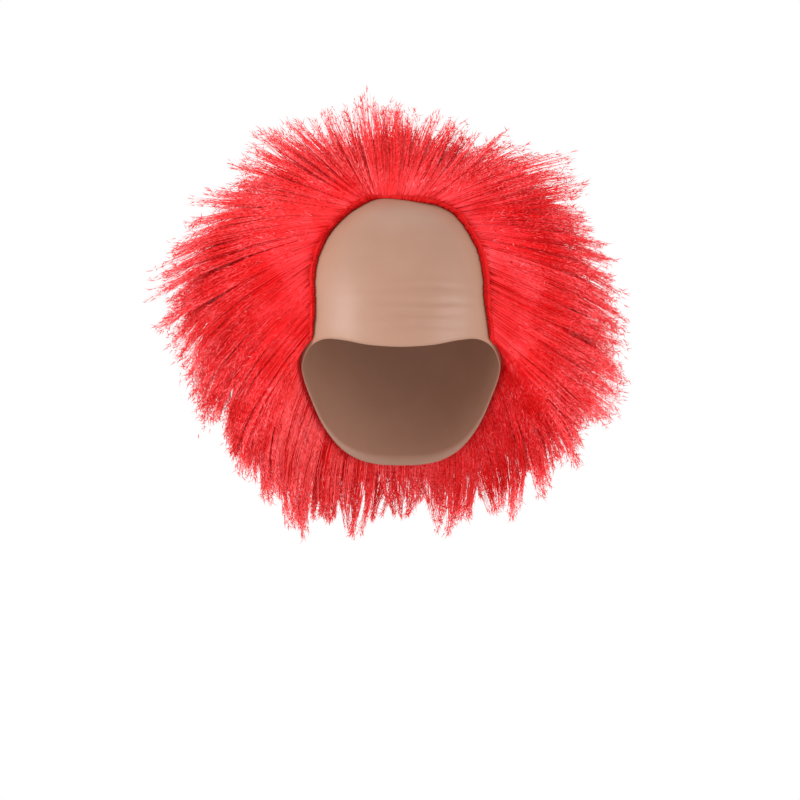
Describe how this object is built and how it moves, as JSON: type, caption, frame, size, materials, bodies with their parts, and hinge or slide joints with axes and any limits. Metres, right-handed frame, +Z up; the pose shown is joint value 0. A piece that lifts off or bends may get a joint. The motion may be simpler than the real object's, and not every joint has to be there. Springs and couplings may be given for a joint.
{
  "type": "bald costume wig",
  "caption": "Costume wig with a bare moulded latex skull cap in front and a wide, spiky ring of teased red synthetic hair sewn round its sides and back.",
  "frame": {"origin": "inside of the cap's crown, where the top of the wearer's head sits", "axes": "+Z up, -Y out of the wearer's face, +X to the wearer's left"},
  "size_m": [0.346, 0.2878, 0.3297],
  "materials": {
    "latex": "matte moulded skin-tone latex",
    "red_fibre": "crimped and teased synthetic fibre"
  },
  "bodies": {
    "root": {"bald_cap": "latex", "hairline_weft": "red_fibre", "second_weft": "red_fibre", "third_weft": "red_fibre", "fourth_weft": "red_fibre", "fifth_weft": "red_fibre", "back_weft": "red_fibre"}
  },
  "joints": []
}
